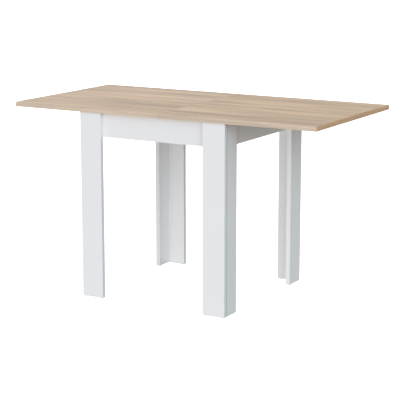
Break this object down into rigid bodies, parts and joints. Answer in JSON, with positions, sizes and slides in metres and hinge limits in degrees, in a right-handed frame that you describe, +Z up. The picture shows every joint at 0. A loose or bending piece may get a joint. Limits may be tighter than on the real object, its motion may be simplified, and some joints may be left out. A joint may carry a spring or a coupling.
{
  "type": "swivel fold-over table",
  "caption": "Table on a square base with L-section legs; its hinged leaf folds over and the whole top swivels a quarter turn to cover the base.",
  "frame": {"origin": "on the floor, under the middle of the open top", "axes": "+X along the open top, from the fold leaf towards the swivel leaf; +Y towards the back; +Z up"},
  "size_m": [1.34, 0.67, 0.7718],
  "materials": {
    "oak_board": "satin light oak facing on chipboard",
    "oak_edging": "satin oak-pattern strip",
    "white_board": "satin white facing on chipboard",
    "beech": "plain turned beech",
    "zinc_steel": "zinc plated",
    "hinge_metal": "satin oak-tone lacquer on steel",
    "white_plastic": "satin",
    "pale_nylon": "satin natural nylon"
  },
  "bodies": {
    "base": {"leg_front_right_face": "white_board", "leg_front_left_face": "white_board", "leg_front_right_side": "white_board", "leg_front_left_side": "white_board", "leg_rear_right_side": "white_board", "leg_rear_left_side": "white_board", "leg_rear_right_back": "white_board", "leg_rear_left_back": "white_board", "apron_front": "white_board", "apron_rear": "white_board", "apron_right": "white_board", "apron_left": "white_board", "pivot_rail": "white_board", "leg_dowels": "beech", "frame_dowels": "beech", "leg_screws": "zinc_steel", "cam_bolts": "zinc_steel", "cam_locks": "zinc_steel", "swivel_stop_pin": "zinc_steel", "floor_glides": "white_plastic", "cam_caps": "white_plastic", "slide_pads": "pale_nylon", "pivot_bush": "pale_nylon", "pivot_thrust_washer": "pale_nylon"},
    "swivel_part": {"swivel_leaf": "oak_board", "swivel_leaf_edging": "oak_edging", "pivot_plate": "zinc_steel", "pivot_plate_screws": "zinc_steel", "pivot_washer": "zinc_steel", "pivot_spring_washer": "zinc_steel", "pivot_lock_nut": "zinc_steel", "hinge_fixed_plates": "hinge_metal", "hinge_pins": "hinge_metal", "hinge_fixed_screws": "hinge_metal"},
    "fold_part": {"fold_leaf": "oak_board", "fold_leaf_edging": "oak_edging", "hinge_fold_plates": "hinge_metal", "hinge_fold_screws": "hinge_metal"}
  },
  "joints": [
    {"name": "top_swivel", "type": "hinge", "parent": "base", "child": "swivel_part", "pos_m": [0.1505, 0.1845, 0.751], "axis": [0, 0, 1], "range_deg": [-90, 0]},
    {"name": "leaf_fold", "type": "hinge", "parent": "swivel_part", "child": "fold_part", "pos_m": [0, 0, 0.77015], "axis": [0, 1, 0], "range_deg": [0, 180]}
  ]
}
